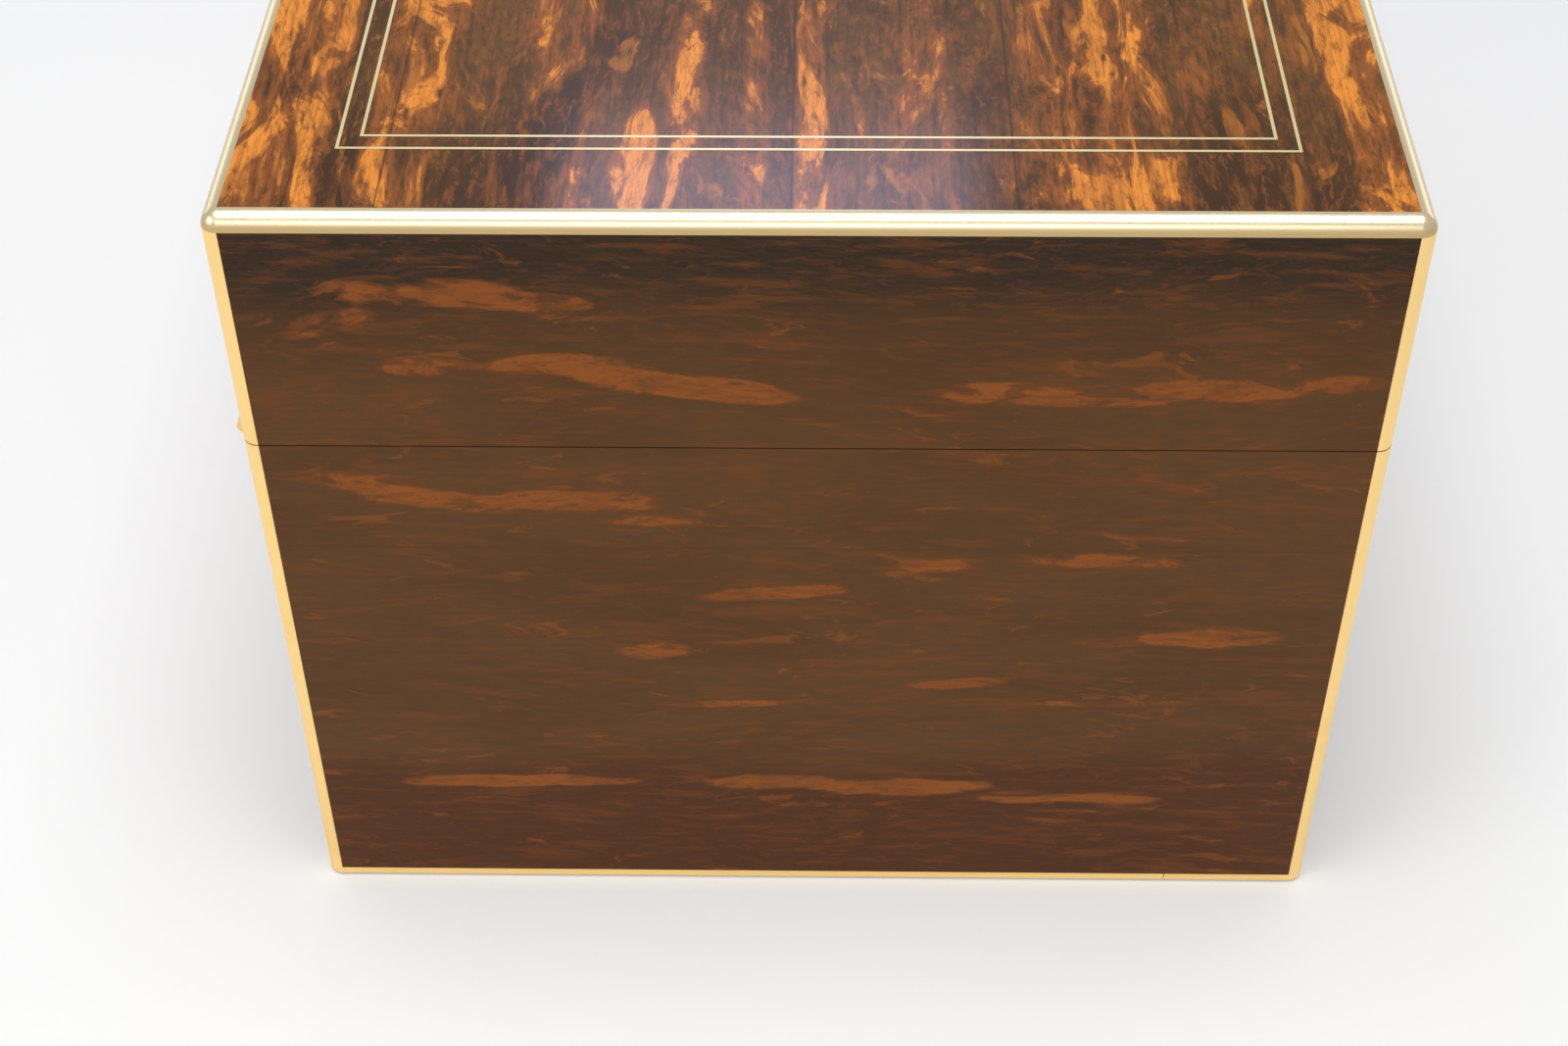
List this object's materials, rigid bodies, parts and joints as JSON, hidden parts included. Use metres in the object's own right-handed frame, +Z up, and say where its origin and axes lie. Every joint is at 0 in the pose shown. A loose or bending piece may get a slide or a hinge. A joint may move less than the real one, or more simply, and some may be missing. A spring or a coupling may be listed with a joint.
{
  "type": "travelling dressing box",
  "caption": "Rectangular veneered dressing box with brass-bound edges, a hinged lid with a mirror inside, a lift-out tray and a drawer in the base.",
  "frame": {"origin": "centre of the base, on the surface that the box stands on", "axes": "+X along the length, -Y to the front with the lock, +Y to the hinged back, +Z up"},
  "size_m": [0.34, 0.242, 0.199],
  "materials": {
    "figured_veneer": "french polished, dark ground with amber and red streaks",
    "mahogany": "satin, straight grain",
    "rosewood": "satin",
    "brass": "polished, rounded edges",
    "steel": "blued spring steel",
    "baize": "dark baize",
    "velvet": "plum velvet",
    "frame_leather": "fine grained skiver",
    "mirror": "silvered glass"
  },
  "bodies": {
    "case": {"carcass_end_boards": "mahogany", "carcass_back_board": "mahogany", "carcass_front_board": "mahogany", "base_board": "mahogany", "dust_board": "mahogany", "body_front_veneer": "figured_veneer", "body_back_veneer": "figured_veneer", "body_end_veneers": "figured_veneer", "body_corner_edging": "brass", "base_edging": "brass", "base_pad": "baize", "hinge_body_leaf": "brass", "hinge_pin": "steel", "body_screws": "brass", "lock_case": "brass", "lock_rim_plate": "brass", "escutcheon": "brass", "well_fence": "rosewood", "pin_block": "rosewood", "well_partitions": "rosewood", "well_lining": "velvet", "ejector_spring": "steel"},
    "lid": {"lid_top_board": "mahogany", "lid_end_boards": "mahogany", "lid_back_board": "mahogany", "lid_front_board": "mahogany", "lid_top_veneer": "figured_veneer", "lid_outer_line": "brass", "lid_inner_line": "brass", "lid_front_veneer": "figured_veneer", "lid_back_veneer": "figured_veneer", "lid_end_veneers": "figured_veneer", "lid_corner_edging": "brass", "lid_long_rails": "brass", "lid_end_rails": "brass", "hinge_lid_leaf": "brass", "lid_screws": "brass", "link_plate": "brass", "lid_lining_pad": "velvet", "lid_battens": "rosewood", "mirror_frame": "frame_leather", "mirror_glass": "mirror", "button_pivots": "brass"},
    "tray": {"tray_sides": "mahogany", "tray_ends": "mahogany", "tray_bottom": "mahogany", "tray_partitions": "rosewood", "tray_lining": "velvet"},
    "drawer": {"drawer_front": "mahogany", "drawer_front_veneer": "figured_veneer", "drawer_sides": "mahogany", "drawer_back": "mahogany", "drawer_bottom": "mahogany", "drawer_partitions": "rosewood", "drawer_lining": "velvet", "drawer_keep": "brass"},
    "lock_bolt": {"lock_bolt": "brass"},
    "drawer_pin": {"drawer_pin": "brass"},
    "left_turn_button": {"left_turn_button": "brass"},
    "right_turn_button": {"right_turn_button": "brass"}
  },
  "joints": [
    {"name": "lid_hinge", "type": "hinge", "parent": "case", "child": "lid", "pos_m": [0, 0.12, 0.14085], "axis": [-1, 0, 0], "range_deg": [0, 95]},
    {"name": "tray_lift", "type": "slide", "parent": "case", "child": "tray", "axis": [0, 0, 1], "range_m": [0, 0.028]},
    {"name": "drawer_slide", "type": "slide", "parent": "case", "child": "drawer", "axis": [0, -1, 0], "range_m": [0, 0.1]},
    {"name": "bolt_throw", "type": "slide", "parent": "case", "child": "lock_bolt", "axis": [1, 0, 0], "range_m": [0, 0.004]},
    {"name": "pin_drop", "type": "slide", "parent": "case", "child": "drawer_pin", "axis": [0, 0, -1], "range_m": [0, 0.008]},
    {"name": "left_button_turn", "type": "hinge", "parent": "lid", "child": "left_turn_button", "pos_m": [-0.129, 0, 0.174], "axis": [0, 0, 1], "range_deg": [0, 90]},
    {"name": "right_button_turn", "type": "hinge", "parent": "lid", "child": "right_turn_button", "pos_m": [0.129, 0, 0.174], "axis": [0, 0, 1], "range_deg": [0, 90]}
  ]
}
